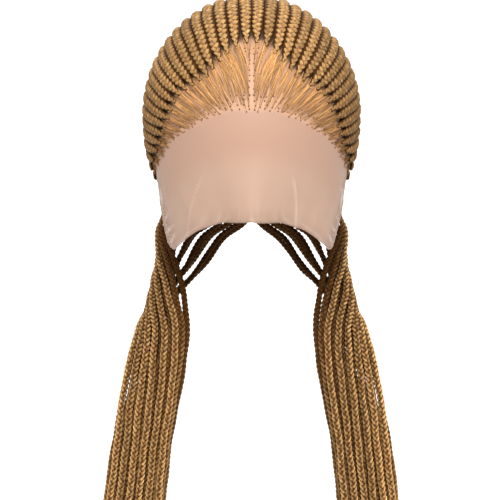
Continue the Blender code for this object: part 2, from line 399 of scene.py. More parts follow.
def cornrow(row):
    """Directions, solid and dressed radii and growth of a row on the right, and its plait's start."""
    turn = row_turn(row)
    first = hairline_reach(turn)
    centre = row_directions(turn, first)
    beside = [row_directions(turn + part * ROW_TURN, first) for part in (-0.5, 0.5)]
    ground = on_scalp(centre, np.full(len(centre), FULL_RADIUS))
    sides = [on_scalp(directions, np.full(len(centre), FULL_RADIUS)) for directions in beside]
    along = lengths_along(ground)
    tangent = unit(np.gradient(ground, axis=0))
    across = sides[1] - sides[0]
    across = across - tangent * np.sum(across * tangent, axis=1, keepdims=True)
    room = ROOM_SHARE * np.linalg.norm(across, axis=1)
    reach = np.linspace(first, BEND_REACH, ROW_STEPS, endpoint=False)
    begin_at = np.interp(cornrow_reach(turn), reach, along[:ROW_STEPS])
    growth = np.clip((along - begin_at) / GROWTH_LENGTH, 0.0, 1.0)
    radii = START_RADIUS + (FULL_RADIUS - START_RADIUS) * growth
    side = rise(turn, SIDE_TURNS)
    dressed = radii + np.maximum(SIDE_RADIUS - radii, 0.0) * side
    return centre, np.minimum(radii, room), np.minimum(dressed, room), growth, begin_at / along[-1]


def bowed_section(section, shares):
    """The rows' places on a hanging section, bowed out between its two ends."""
    first, last = np.array(section[0:3]), np.array(section[3:6])
    across = last - first
    outward = unit(np.array([-across[1], across[0], 0.0]))
    outward = outward * (1.0 if outward[0] > outward[1] else -1.0)
    bow = section[BOW] * 4.0 * shares * (1.0 - shares)
    return first + across * shares[:, None] + outward * bow[:, None]


def layered(sheet):
    """The sheet of rows set out in layers, square to itself and away from the neck."""
    across = np.gradient(sheet, axis=0)
    along = np.gradient(sheet, axis=1)
    outward = unit(np.cross(across, along))
    layer = (ROWS_PER_SIDE - 1 - np.arange(ROWS_PER_SIDE)) % LAYERS
    pitch = np.array([0.0, 0.0, NAPE_LAYER_PITCH] + column(SECTIONS, PITCH))
    return sheet + outward * (layer[:, None] * pitch[None, :])[..., None]


def in_between(stations, samples):
    """Values along each row, straight between those of its stations."""
    share = (np.arange(samples) / samples)[None, None, :, None]
    return stations[:, :-1, None] * (1.0 - share) + stations[:, 1:, None] * share


def settled(stations, radii):
    """The rows' stations eased apart until all have room, and clear of the other half."""
    share = np.arange(SETTLE_SAMPLES) / SETTLE_SAMPLES
    rows, segments = stations.shape[0], stations.shape[1] - 1
    thick = in_between(radii[..., None], SETTLE_SAMPLES)[..., 0].reshape(-1)
    owner = np.repeat(np.arange(rows), segments * SETTLE_SAMPLES)
    wanted = thick[:, None] + thick[None, :] + NECK_GAP
    wanted = wanted * (owner[:, None] != owner[None, :])
    for _ in range(SETTLE_ROUNDS):
        points = in_between(stations, SETTLE_SAMPLES).reshape(-1, 3)
        heading = np.repeat(unit(np.diff(stations, axis=1)), SETTLE_SAMPLES, axis=1).reshape(-1, 3)
        apart = points[:, None] - points[None, :]
        ahead = np.einsum("ijk,jk->ij", apart, heading)
        apart = apart - ahead[..., None] * heading[None, :]
        distance = np.linalg.norm(apart, axis=2) + 1e-9
        near = np.abs(ahead) < wanted
        push = np.where(near, np.maximum(wanted - distance, 0.0), 0.0) / distance
        move = np.einsum("ij,ijk->ik", push, apart) * SETTLE_SHARE
        move = move.reshape(rows, segments, SETTLE_SAMPLES, 3)
        change = np.zeros_like(stations)
        change[:, :-1] += np.einsum("rsnk,n->rsk", move, 1.0 - share)
        change[:, 1:] += np.einsum("rsnk,n->rsk", move, share)
        change[:, 0] = 0.0
        stations = stations + change
        stations[:, 1:, 0] = np.maximum(stations[:, 1:, 0], radii[:, 1:] + NECK_GAP)
    return stations


def hanging_stations(edge, heading, edge_radii):
    """Stations and radii of the hanging braids, from the cap's edge to the tips."""
    shares = np.linspace(0.0, 1.0, ROWS_PER_SIDE)
    sections = [bowed_section(section, shares) for section in SECTIONS]
    loose = edge + heading * LOOSE_DROP
    outward = unit((loose + sections[0]) * np.array([1.0, 1.0, 0.0]))
    nape = (loose + sections[0]) / 2.0 + outward * NAPE_BULGE
    sheet = np.stack([edge, loose, nape] + sections, axis=1)
    radii = np.tile([0.0, LOOSE_RADIUS, LOOSE_RADIUS] + column(SECTIONS, RADIUS), (ROWS_PER_SIDE, 1))
    radii[:, 0] = edge_radii
    hanging = settled(layered(sheet), radii)
    hanging[:, -1, 2] += TIP_STAGGER * np.sin(TIP_WAVE * np.arange(ROWS_PER_SIDE) + TIP_PHASE)
    radii[:, -1] = TIP_RADIUS
    return hanging, radii


def smooth_through(knots, step):
    """Points about every step along a smooth curve through the knots, and each knot's place on it."""
    gaps = np.linalg.norm(np.diff(knots, axis=0), axis=1)
    at = np.concatenate([[0.0], np.cumsum(gaps)])
    slope = np.diff(knots, axis=0) / gaps[:, None]
    lean = (gaps[:-1] / (gaps[:-1] + gaps[1:]))[:, None]
    tangent = np.concatenate([slope[:1], slope[:-1] * (1.0 - lean) + slope[1:] * lean, slope[-1:]])
    stops = np.linspace(0.0, at[-1], round(at[-1] / step) + 1)
    span = np.clip(np.searchsorted(at, stops, side="right") - 1, 0, len(gaps) - 1)
    gap = gaps[span][:, None]
    share = (stops - at[span])[:, None] / gap
    smooth = (
        (2 * share**3 - 3 * share**2 + 1) * knots[span]
        + (share**3 - 2 * share**2 + share) * gap * tangent[span]
        + (3 * share**2 - 2 * share**3) * knots[span + 1]
        + (share**3 - share**2) * gap * tangent[span + 1]
    )
    return smooth, stops, at


def turned_about(vectors, axes, angle):
    """Vectors square to their axes, turned about them."""
    return vectors * np.cos(angle)[:, None] + np.cross(axes, vectors) * np.sin(angle)[:, None]


def carried_normals(tangents, start):
    """The start normal carried along a route with no twist."""
    normals = np.empty_like(tangents)
    normal = start
    for index, tangent in enumerate(tangents):
        normal = normal - tangent * (normal @ tangent)
        normal = normal / math.sqrt(normal @ normal)
        normals[index] = normal
    return normals


def braid_routes(sway):
    """Each right-hand braid: points, tangents, normals, radii, stops, start and cap's edge."""
    rows = [cornrow(row) for row in range(ROWS_PER_SIDE)]
    cad_lift = LACE_THICKNESS + SEAT_CLEARANCE
    cad_rows = [on_scalp(directions, cad_lift + radii) for directions, radii, _, _, _ in rows]
    edge = np.array([points[-1] for points in cad_rows])
    heading = unit(edge - np.array([points[-3] for points in cad_rows]))
    heading = unit(heading + np.array([0.0, 0.0, -1.0]))
    edge_radii = [radii[-1] for _, radii, _, _, _ in rows]
    hanging, hanging_radii = hanging_stations(edge, heading, edge_radii)
    routes = []
    for row, (directions, _, radii, growth, begin) in enumerate(rows):
        _, out = scalp(directions)
        lift = LACE_THICKNESS + PLAIT_HEIGHT * radii + SEAT_RISE * growth
        dome = on_scalp(directions, lift)
        knots = np.concatenate([dome[::3], dome[-1:], hanging[row, 1:]])
        sizes = np.concatenate([radii[::3], radii[-1:], hanging_radii[row, 1:]])
        points, stops, at = smooth_through(knots, ROUTE_STEP)
        tangents = unit(np.gradient(points, axis=0))
        edge_stop = at[len(dome[::3])]
        dome_at = np.linspace(0.0, edge_stop, len(dome))
        on_cap = stops <= edge_stop
        normals = sampled(stops, dome_at, out)
        normals = unit(normals - tangents * np.sum(normals * tangents, axis=1, keepdims=True))
        last = np.count_nonzero(on_cap) - 1
        normals[last:] = carried_normals(tangents[last:], normals[last])
        free = ease((stops - edge_stop) / FACING_LENGTH)
        down = ease((stops - edge_stop) / (stops[-1] - edge_stop))
        end_axis = np.cross(tangents[-1], normals[-1])
        end_turn = math.atan2(FACING @ end_axis, FACING @ normals[-1])
        wander = sway[row, 0] * np.sin(sway[row, 1] * down * math.pi + sway[row, 2])
        wander = wander * np.minimum(1.0, down / SWAY_START)
        normals = turned_about(normals, tangents, end_turn * free + wander)
        radii_along = np.interp(stops, at, sizes)
        routes.append((points, tangents, normals, radii_along, stops, begin * edge_stop, edge_stop))
    return routes


def risen(size, at, begin):
    """Sizes along a cornrow, tapered to its start."""
    return size * (RISE_START + (1.0 - RISE_START) * ease((at - begin) / RISE_LENGTH))


def wave(at, lengths, first_shift, second_shift):
    """An uneven wave along a plait, between -1 and 1."""
    return np.sin(at / lengths[0] + first_shift) * np.sin(at / lengths[1] + second_shift)


def plait(route, row, settings, random):
    """Ring points, lengths and painted light and shade of the three strands of one plait."""
    points, tangents, normals, radii, stops, begin, edge_stop = route
    lobe = settings.lobe_base + settings.lobe_share * radii
    phase = np.concatenate([[0.0], np.cumsum(np.diff(stops) * FULL_TURN / (STRANDS * lobe[1:]))])
    first = np.interp(begin, stops, phase)
    last = np.interp(stops[-1] - TUFT_LENGTH, stops, phase)
    count = round((last - first) / FULL_TURN * settings.rings_per_turn)
    ring_phase = np.linspace(first, last, count)
    at = np.interp(ring_phase, phase, stops)
    centre, outer = sampled(at, stops, points), unit(sampled(at, stops, normals))
    across = np.cross(unit(sampled(at, stops, tangents)), outer)
    size = risen(np.interp(at, stops, radii), at, begin) * settings.fullness
    drift, surge = random.uniform(0.0, FULL_TURN, 2)
    size = size * (1.0 + PLAIT_UNEVEN * wave(at, UNEVEN_LENGTHS, drift, surge))
    centre = centre + across * (settings.wobble * wave(at, WOBBLE_LENGTHS, surge, drift))[:, None]
    angle = ring_phase + np.arange(STRANDS)[:, None] * FULL_TURN / STRANDS
    hang = rise(at - edge_stop, HANG_SPAN)
    swing_share, weave_share, wide_share, deep_share, reach, lead = (
        on_cap + (hanging - on_cap) * hang for on_cap, hanging in PLAIT_SHAPES
    )
    swing = swing_share * size * np.sin(angle)
    weave = weave_share * size * np.sin(2.0 * angle + lead)
    middle = centre + across * swing[..., None] + outer * weave[..., None]
    half_width, half_depth = (np.tile(share * size, (STRANDS, 1)) for share in (wide_share, deep_share))
    rings = tube_rings(middle, outer, half_width, half_depth, settings.sides)
    # Painted light and shade: crevices between strands, low flanks darker on the cap, rows darker towards
    # the ear, deeper layers and the nape darker on the hanging braids
    layer = (ROWS_PER_SIDE - 1 - row) % LAYERS
    below = at - edge_stop
    nape = NAPE_DARK * (1.0 - ease(below / NAPE_DARK_FADE))
    shade = np.maximum(nape, NAPE_SHADE[layer] * (1.0 - ease(below / NAPE_SHADE_FADE)))
    ear = EAR_LIGHT * rise(row, EAR_ROWS) * (1.0 - ease(below / EAR_LIGHT_FADE))
    loose_light = (LAYER_LIGHT[layer] + (1.0 - LAYER_LIGHT[layer]) * ear) * (1.0 - shade * (1.0 - ear))
    light = hang * loose_light + (1.0 - hang) * (DOME_LIGHT - ROW_SHADE * row / ROWS_PER_SIDE)
    height = np.sum((rings - centre[:, None]) * outer[:, None], axis=-1) / size[:, None]
    flank_light = rise(height, FLANK_SPAN)
    flank_light = 1.0 - (1.0 - flank_light) * (1.0 - hang[:, None])
    painted_light_and_dimming = crevice_shade(rings, middle, size, reach[:, None]) * light[None, :, None] * flank_light
    return rings, np.tile(at, (STRANDS, 1)), painted_light_and_dimming


def plait_core(route, settings):
    """The flat core of hair that fills a cornrow between its strands and the cap."""
    points, _, normals, radii, stops, begin, edge_stop = route
    at = np.linspace(begin, edge_stop, CORE_RINGS)
    centre, outer = sampled(at, stops, points), sampled(at, stops, normals)
    size = risen(np.interp(at, stops, radii), at, begin) * settings.fullness
    size = size * (1.0 - CORE_TAPER * ease((at - edge_stop) / RISE_LENGTH + 1.0))
    middle = (centre - outer * (CORE_DROP_SHARE * size)[:, None])[None]
    wide, deep = (np.array([share * size]) for share in (CORE_WIDE_SHARE, CORE_DEEP_SHARE))
    rings = tube_rings(middle, outer[None], wide, deep, settings.sides)
    # The whole core painted in shade
    return rings, at[None], np.full(rings.shape[:3], CORE_LIGHT), np.array([CORE_TONE])


def crevice_shade(rings, middle, size, reach):
    """Painted crevice shade: how far each corner of a strand is from those beside it, 0 in a crevice, 1 in
    the open.
    """
    nearest = np.full(rings.shape[:3], np.inf)
    for other in (1, 2):
        for offset in (-2, -1, 0, 1, 2):
            beside = np.roll(np.roll(middle, other, axis=0), offset, axis=1)
            nearest = np.minimum(nearest, np.linalg.norm(rings - beside[:, :, None], axis=3))
    return np.clip((nearest / size[None, :, None] - reach) / CREVICE_FADE, 0.0, 1.0)


def tube_rings(middle, outer, half_width, half_depth, sides):
    """Rings round a line: half_width across it in its plane, half_depth along the outer normal."""
    heading = unit(np.gradient(middle, axis=-2))
    wide = unit(np.cross(outer, heading))
    deep = np.cross(heading, wide)
    angle = FULL_TURN * (np.arange(sides) + 0.5) / sides
    return (
        middle[..., None, :]
        + wide[..., None, :] * (half_width[..., None] * np.cos(angle))[..., None]
        + deep[..., None, :] * (half_depth[..., None] * np.sin(angle))[..., None]
    )


def tube_faces(tubes, rings, sides, first):
    """Corner indexes of the walls and of the two ends of a batch of tubes."""
    index = first + np.arange(tubes * rings * sides).reshape(tubes, rings, sides)
    beside = np.roll(index, -1, axis=2)
    walls = np.stack([index[:, :-1], beside[:, :-1], beside[:, 1:], index[:, 1:]], axis=-1)
    ends = np.concatenate([index[:, 0, ::-1], index[:, -1]])
    return walls.reshape(-1, 4), ends


def tube_mesh(name, batches):
    """A mesh of closed tubes from batches of (rings, lengths, painted light and dimming, tones)."""
    corners, sizes, maps = [], [], []
    first = 0
    for rings, lengths, _, _ in batches:
        tubes, count, sides = rings.shape[:3]
        walls, caps = tube_faces(tubes, count, sides, first)
        first += tubes * count * sides
        corners += [walls.reshape(-1), caps.reshape(-1)]
        sizes += [np.full(len(walls), 4), np.full(len(caps), sides)]
        around = np.arange(sides) / sides
        ends = (2 * tubes, sides)
        left = np.broadcast_to(around, (tubes, count - 1, sides))
        near = np.broadcast_to(lengths[:, :-1, None], left.shape)
        far = np.broadcast_to(lengths[:, 1:, None], left.shape)
        right = left + 1.0 / sides
        wall_map = np.stack([left, near, right, near, right, far, left, far], axis=-1)
        end_lengths = np.concatenate([lengths[:, 0], lengths[:, -1]])
        end_map = [np.broadcast_to(values, ends) for values in (around, end_lengths[:, None])]
        maps += [wall_map.reshape(-1), np.stack(end_map, axis=-1).reshape(-1)]
    points = np.concatenate([rings.reshape(-1, 3) for rings, _, _, _ in batches])
    painted_light_and_dimming = np.concatenate([depth.reshape(-1) for _, _, depth, _ in batches])
    tones = np.concatenate([np.repeat(tone, rings[0].size // 3) for rings, _, _, tone in batches])
    mesh = mesh_of(name, points, np.concatenate(corners), np.concatenate(sizes))
    mesh.uv_layers.new(name="strand").uv.foreach_set("vector", np.concatenate(maps).astype(np.float32))
    # The depth attribute carries the painted light and shade, and the random dimming of some locks
    for layer, values in (("depth", painted_light_and_dimming), ("tone", tones)):
        mesh.attributes.new(layer, "FLOAT", "POINT").data.foreach_set("value", values.astype(np.float32))
    return mesh


def mesh_of(name, points, corners, sizes):
    mesh = bpy.data.meshes.new(name)
    mesh.vertices.add(len(points))
    mesh.vertices.foreach_set("co", points.astype(np.float32).reshape(-1))
    mesh.loops.add(len(corners))
    mesh.loops.foreach_set("vertex_index", corners.astype(np.int32))
    mesh.polygons.add(len(sizes))
    starts = np.concatenate([[0], np.cumsum(sizes)[:-1]])
    mesh.polygons.foreach_set("loop_start", starts.astype(np.int32))
    mesh.update(calc_edges=True)
    mesh.validate()
    mesh.shade_smooth()
    return mesh


def tuft(route, random):
    """The loose fibre ends below a plait."""
    points, _, normals, _, stops, _, _ = route
    share = np.linspace(0.0, 1.0, TUFT_RINGS)
    at = stops[-1] - TUFT_LENGTH * TUFT_REACH * (1.0 - share)
    angle = random.uniform(0.0, FULL_TURN, TUFT_FIBRES)
    spread = random.uniform(0.1, 1.0, TUFT_FIBRES)[:, None] * (TUFT_SPREAD[0] + TUFT_SPREAD[1] * share)
    offset = np.stack([np.cos(angle), np.sin(angle), np.zeros(TUFT_FIBRES)], axis=1)
    middle = sampled(at, stops, points) + offset[:, None] * (TIP_RADIUS * spread)[..., None]
    middle[..., 2] += random.uniform(0.0, TUFT_UNEVEN, TUFT_FIBRES)[:, None] * share
    outer = np.broadcast_to(normals[-1], middle.shape)
    radius = np.tile(TIP_RADIUS * TUFT_WIDTH * (1.0 - TUFT_TAPER * share**2), (TUFT_FIBRES, 1))
    rings = tube_rings(middle, outer, radius, radius, TUFT_SIDES)
    tones = random.uniform(0.2, 0.8, TUFT_FIBRES)
    return rings, np.tile(at, (TUFT_FIBRES, 1)), np.full(rings.shape[:3], TUFT_DEPTH), tones


def piece(name, mesh, material):
    """A finished piece of the wig, riding on its only body."""
    made = bpy.data.objects.new(name, mesh)
    bpy.context.scene.collection.objects.link(made)
    made.data.materials.append(material)
    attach(made, "root")
    return made


class Nodes:
    """Short calls for wiring a material's nodes."""

    def __init__(self, name):
        self.material = bpy.data.materials.new(name)
        self.material.use_nodes = True
        self.tree = self.material.node_tree
        self.shader = self.tree.nodes["Principled BSDF"]

    def add(self, kind, inputs=(), **settings):
        node = self.tree.nodes.new(kind)
        for setting, value in settings.items():
            setattr(node, setting, value)
        for socket, value in dict(inputs).items():
            self.feed(node.inputs[socket], value)
        return node

    def feed(self, socket, value):
        if isinstance(value, bpy.types.NodeSocket):
            self.tree.links.new(value, socket)
        else:
            socket.default_value = value

    def maths(self, operation, first, second=0.0):
        node = self.add("ShaderNodeMath", {0: first, 1: second}, operation=operation)
        return node.outputs[0]

    def value_of(self, attribute):
        return self.add("ShaderNodeAttribute", attribute_name=attribute).outputs["Fac"]

    def ranged(self, value, low, high, to_low, to_high):
        inputs = {"Value": value, "From Min": low, "From Max": high, "To Min": to_low, "To Max": to_high}
        return self.add("ShaderNodeMapRange", inputs, interpolation_type="SMOOTHSTEP").outputs["Result"]

    def noise(self, vector, scale, detail=2.0, roughness=0.5):
        inputs = {"Vector": vector, "Scale": scale, "Detail": detail, "Roughness": roughness}
        return self.add("ShaderNodeTexNoise", inputs).outputs["Fac"]

    def mixed(self, share, first, second, blend="MIX"):
        inputs = {0: share, 6: first, 7: second}
        return self.add("ShaderNodeMix", inputs, data_type="RGBA", blend_type=blend).outputs[2]

    def bump(self, height, strength, distance):
        inputs = {"Height": height, "Strength": strength, "Distance": distance}
        self.feed(self.shader.inputs["Normal"], self.add("ShaderNodeBump", inputs).outputs["Normal"])

    def dress(self, **sockets):
        for socket, value in sockets.items():
            self.feed(self.shader.inputs[socket.replace("_", " ")], value)
        return self.material


def colour(values, share=1.0):
    """A node colour, dimmed to a share of these values."""
    return (*(share * part for part in values), 1.0)


TONE_SHIFT = 60.0
FIBRE_STRETCH = 160.0
# Curve of the painted shade from the depth attribute
SHADE_POWER = 1.3


def braid_fibre(name, settings, tint, share):
    """Synthetic braiding hair: fine fibres along each strand, painted shade between the lobes from the
    depth attribute, part tinted.
    """
    nodes = Nodes(name)
    strand = nodes.add("ShaderNodeUVMap", uv_map="strand").outputs["UV"]
    tone, depth = nodes.value_of("tone"), nodes.value_of("depth")
    moved = nodes.maths("MULTIPLY", tone, TONE_SHIFT)
    shift = nodes.add("ShaderNodeCombineXYZ", {"Z": moved}).outputs[0]
    scale = (settings.fibres_round, FIBRE_STRETCH, 0.0)
    stretch = nodes.add("ShaderNodeVectorMath", {0: strand, 1: scale}, operation="MULTIPLY").outputs[0]
    place = nodes.add("ShaderNodeVectorMath", {0: stretch, 1: shift}, operation="ADD").outputs[0]
    fibres = nodes.noise(place, 1.0, 4.0, 0.65)
    broad = nodes.noise(place, 0.23, 1.0)
    streaks = nodes.ranged(fibres, 0.30, 0.70, 0.0, 1.0)
    gold = nodes.mixed(streaks, colour(settings.dark_gold), colour(settings.light_gold))
    gold = nodes.mixed(nodes.ranged(broad, 0.35, 0.70, 0.0, 0.45), gold, colour(settings.warm_gold))
    gold = nodes.mixed(share, gold, colour(tint))
    # Painted shade: the depth attribute mixes the gold towards the shade brown
    lit = nodes.mixed(nodes.maths("POWER", depth, SHADE_POWER), colour(settings.shade_brown), gold)
    shade = nodes.ranged(tone, 0.0, 1.0, 0.72, 1.14)
    shade = nodes.add("ShaderNodeCombineXYZ", {"X": shade, "Y": shade, "Z": shade}).outputs[0]
    nodes.bump(fibres, 0.5, 0.0004)
    return nodes.dress(
        Base_Color=nodes.mixed(1.0, lit, shade, "MULTIPLY"),
        Roughness=nodes.ranged(fibres, 0.3, 0.7, 0.62, 0.50),
        Specular_IOR_Level=0.07,
        Specular_Tint=(1.0, 0.72, 0.42, 1.0),
    )


class BraidSettings(bpy.types.PropertyGroup):
    lobe_base: FloatProperty(
        name="Lobe length",
        description="Lobe length of a plait of no width", default=0.0008, unit="LENGTH",
    )
    lobe_share: FloatProperty(
        name="Lobe growth", description="Lobe length added for each radius", default=1.30
    )
    rings_per_turn: IntProperty(
        name="Rings", description="Rings of a strand in one turn of the plait", default=10
    )
    fullness: FloatProperty(
        name="Fullness", description="Width of the plait against its solid", default=1.10
    )
    wobble: FloatProperty(
        name="Wobble", description="How far a plait strays from its line", default=0.0005, unit="LENGTH"
    )
    sides: IntProperty(name="Sides", description="Sides of a strand", default=6, min=3)
    fibres_round: FloatProperty(name="Fibres", description="Fibre streaks round a strand", default=11.0)
    dark_gold: FloatVectorProperty(
        name="Dark gold", description="Shaded fibres", subtype="COLOR", default=(0.43, 0.218, 0.074)
    )
    light_gold: FloatVectorProperty(
        name="Light gold", description="Lit fibres", subtype="COLOR", default=(0.93, 0.58, 0.25)
    )
    warm_gold: FloatVectorProperty(
        name="Warm gold", description="Warmer patches", subtype="COLOR", default=(0.82, 0.44, 0.16)
    )
    # Painted shade: the brown the strands darken to in crevices, on the core and on the dim layers
    shade_brown: FloatVectorProperty(
        name="Deep brown",
        description="Inside the plait", subtype="COLOR", default=(0.045, 0.0145, 0.0025),
    )


class WIG_OT_plait_braids(bpy.types.Operator):
    """Plait the forty braids from their cornrows to their tips"""

    bl_idname = "wig.plait_braids"
    bl_label = "Plait the braids"

    def execute(self, context):
        settings = context.scene.wig_braids
        random = np.random.default_rng(4)
        sway = random.uniform(SWAY_LEAST, SWAY_MOST, (ROWS_PER_SIDE, 3))
        fibre = braid_fibre("braid fibre", settings, settings.warm_gold, 0.0)
        for row, route in enumerate(braid_routes(sway)):
            for side, word in ((-1, "left"), (1, "right")):
                rings, lengths, painted_light_and_dimming = plait(route, row, settings, random)
                tones = random.uniform(0.0, 1.0) * 0.5 + random.uniform(0.0, 0.5, 3)
                ends = tuft(route, random)
                batches = [(rings, lengths, painted_light_and_dimming, tones), plait_core(route, settings), ends]
                batches = [on_side(batch, side) for batch in batches]
                name = f"braid_{word}_{row + 1:02d}"
                mesh = tube_mesh(name, batches)
                made = piece(f"plait_{word}_{row + 1:02d}", mesh, fibre)
                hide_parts(name)
        return {"FINISHED"}


def on_side(batch, side):
    """The same tubes on this side of the head, wound so that their walls still face out."""
    rings, lengths, painted_light_and_dimming, tones = batch
    return mirrored(rings, side)[:, :, ::side], lengths, painted_light_and_dimming[:, :, ::side], tones


class HairlineSettings(bpy.types.PropertyGroup):
    parting_gap: FloatProperty(
        name="Parting", description="Half width of the bare parting", default=0.0014, unit="LENGTH"
    )
    root_pitch: FloatProperty(
        name="Root pitch", description="Distance between knots", default=0.0036, unit="LENGTH"
    )
    knot_rows: IntProperty(name="Knot rows", description="Rows of knots along the hairline", default=4)
    knot_radius: FloatProperty(
        name="Knot radius", description="Radius of a knot", default=0.00075, unit="LENGTH"
    )
    locks_per_row: IntProperty(
        name="Locks", description="Fine locks that run into each cornrow", default=38
    )
    lock_radius: FloatProperty(
        name="Lock radius", description="Radius of a fine lock", default=0.00012, unit="LENGTH"
    )
    lock_gold: FloatVectorProperty(
        name="Lock gold",
        description="Tint of the fine locks", subtype="COLOR", default=(0.90, 0.46, 0.18),
    )
    knot_brown: FloatVectorProperty(
        name="Knot brown", description="Knots", subtype="COLOR", default=(0.21, 0.095, 0.048)
    )


def root_spots(settings, random):
    """Turn and reach of each knot on the right half: along the hairline and beside the parting."""
    spots = []
    for band in range(settings.knot_rows):
        turn = 0.0
        while turn < row_turn(ROWS_PER_SIDE - 1):
            reach = hairline_reach(turn) + math.degrees(KNOT_BAND * band / HEAD_RADIUS)
            ring = HEAD_RADIUS * math.sin(math.radians(reach))
            step = math.degrees(settings.root_pitch / ring)
            start = math.degrees(settings.parting_gap / ring)
            place = max(turn + (band % 2) * step / 2.0, start)
            place = place + random.uniform(-KNOT_SLIP, KNOT_SLIP) * step
            spots.append((place, reach + random.uniform(-KNOT_STRAY, KNOT_STRAY)))
            turn += step
    first, last, step = PARTING_REACH
    for file in range(PARTING_FILES):
        for reach in np.arange(hairline_reach(0.0) + first, cornrow_reach(0.0) - last, step):
            ring = HEAD_RADIUS * math.sin(math.radians(reach))
            aside = settings.parting_gap + PARTING_FILE_GAP[0] + PARTING_FILE_GAP[1] * file
            turn = math.degrees((aside + random.uniform(-PARTING_SLIP, PARTING_SLIP)) / ring)
            reach = reach + PARTING_FILE_REACH * file + random.uniform(-PARTING_STRAY, PARTING_STRAY)
            spots.append((turn, reach))
    return np.array(spots)


def fine_locks(settings, random):
    """Middle lines of the fine locks on the right half, from their roots into the cornrows."""
    spots = root_spots(settings, random)
    picked = spots + random.normal(0.0, 1.0, spots.shape) * ROOT_SCATTER
    fill = []
    for row in range(ROWS_PER_SIDE):
        turn = row_turn(row)
        share = random.uniform(0.0, 1.0, settings.locks_per_row)
        first, last = hairline_reach(turn), cornrow_reach(turn)
        aside = random.uniform(-1.0, 1.0, settings.locks_per_row)
        turns = turn + ROW_TURN * LOCK_SPREAD * aside * np.sqrt(np.abs(aside))
        fill.append(np.stack([turns, first + (last - first) * FILL_REACH * share], axis=1))
    roots = np.concatenate([picked] + fill)
    ring = HEAD_RADIUS * np.sin(np.radians(roots[:, 1]))
    roots[:, 0] = np.maximum(roots[:, 0], np.degrees(settings.parting_gap / ring))
    depth = (roots[:, 1] - hairline_reach(0.0)) / PARTING_DEPTH
    drift = np.where(roots[:, 0] < PARTING_ROWS * ROW_TURN, PARTING_DRIFT * (1.0 - depth), 0.0)
    row = np.clip(np.round((roots[:, 0] - FIRST_TURN) / ROW_TURN + drift), 0, ROWS_PER_SIDE - 1)
    end_turn = row_turn(row) + random.normal(0.0, LOCK_END_TURN, len(row))
    end_reach = cornrow_reach(row_turn(row)) + random.uniform(*LOCK_END_REACH, len(row))
    share = np.linspace(0.0, 1.0, LOCK_POINTS)[None, :]
    bend = random.uniform(*LOCK_BEND, len(row))[:, None]
    turns = roots[:, :1] + (end_turn[:, None] - roots[:, :1]) * share**bend
    reaches = roots[:, 1:] + (end_reach[:, None] - roots[:, 1:]) * share
    rest = random.uniform(*LOCK_REST, len(row))[:, None] * (0.4 + 0.6 * ease(4.0 * share))
    arch = random.uniform(0.0, LOCK_ARCH, len(row))[:, None] * np.sin(math.pi * share)
    lift = LACE_THICKNESS + rest + arch + START_RADIUS * LOCK_END_LIFT * share**3
    directions = fan_direction(turns, reaches)
    _, outer = scalp(directions)
    return on_scalp(directions, lift), outer, share, spots


class WIG_OT_lay_hairline(bpy.types.Operator):
    """Lay the fine locks from the hairline and the parting into the cornrows"""

    bl_idname = "wig.lay_hairline"
    bl_label = "Lay the hairline"

    def execute(self, context):
        settings = context.scene.wig_hairline
        fibre = braid_fibre("hairline fibre", context.scene.wig_braids, settings.lock_gold, LOCK_TINT_SHARE)
        knots = []
        for side, word in ((-1, "left"), (1, "right")):
            random = np.random.default_rng(20 + side)
            middle, outer, share, spots = fine_locks(settings, random)
            count = len(middle)
            size = settings.lock_radius * random.uniform(*LOCK_SIZES, count)[:, None]
            size = size * (LOCK_ROOT_SIZE + (1.0 - LOCK_ROOT_SIZE) * ease(3.0 * share))
            wide, deep = (size * flatness for flatness in LOCK_FLATNESS)
            rings = tube_rings(middle, outer, wide, deep, LOCK_SIDES)
            steps = np.linalg.norm(np.diff(middle, axis=1, prepend=middle[:, :1]), axis=2)
            light = np.where(random.uniform(0.0, 1.0, count) < DIM_LOCKS, DIM_LOCK_LIGHT, 1.0)
            light = (light * random.uniform(0.8, 1.0, count))[:, None]
            # Painted shade: locks darker towards the sides of the head; all locks also darker towards their
            # roots
            aside = np.abs(middle[:, :1, 0]) / HEAD_HALF_WIDTH
            light = light * (1.0 - SIDE_LOCK_SHADE * rise(aside, SIDE_LOCK_SPAN))
            light = light * (LOCK_ROOT_LIGHT + (1.0 - LOCK_ROOT_LIGHT) * ease(2.0 * share))
            painted_light_and_dimming = np.broadcast_to(light[..., None], rings.shape[:3])
            tones = random.uniform(0.1, 1.0, count)
            batch = on_side((rings, np.cumsum(steps, axis=1), painted_light_and_dimming, tones), side)
            piece(f"hairline_locks_{word}", tube_mesh(f"locks_{word}", [batch]), fibre)
            directions = fan_direction(spots[:, 0], spots[:, 1])
            places = on_scalp(directions, np.full(len(spots), LACE_THICKNESS))
            knots.append((mirrored(places, side), mirrored(scalp(directions)[1], side)))
        places, normals = (np.concatenate(part) for part in zip(*knots))
        mesh = knot_mesh(places, normals, settings.knot_radius)
        piece("root_knots", mesh, knot_fibre(settings))
        return {"FINISHED"}


def knot_mesh(places, normals, radius):
    """Small flattened balls, one at each place."""
    ball = bmesh.new()
    bmesh.ops.create_icosphere(ball, subdivisions=1, radius=radius)
    shape = np.array([vertex.co for vertex in ball.verts])
    faces = np.array([[vertex.index for vertex in face.verts] for face in ball.faces])
    ball.free()
    height = np.sum(shape[None] * normals[:, None], axis=2, keepdims=True)
    shape = shape[None] - normals[:, None] * height * KNOT_FLATNESS
    points = (places[:, None] + shape).reshape(-1, 3)
    corners = faces[None] + (np.arange(len(places)) * shape.shape[1])[:, None, None]
    return mesh_of("root_knots", points, corners.reshape(-1), np.full(len(places) * len(faces), 3))


def knot_fibre(settings):
    nodes = Nodes("knotted roots")
    place = nodes.add("ShaderNodeTexCoord").outputs["Object"]
    grain = nodes.noise(place, 900.0)
    brown = nodes.mixed(grain, colour(settings.knot_brown), colour(settings.knot_brown, 0.5))
    nodes.bump(grain, 0.3, 0.0002)
    return nodes.dress(Base_Color=brown, Roughness=0.6)


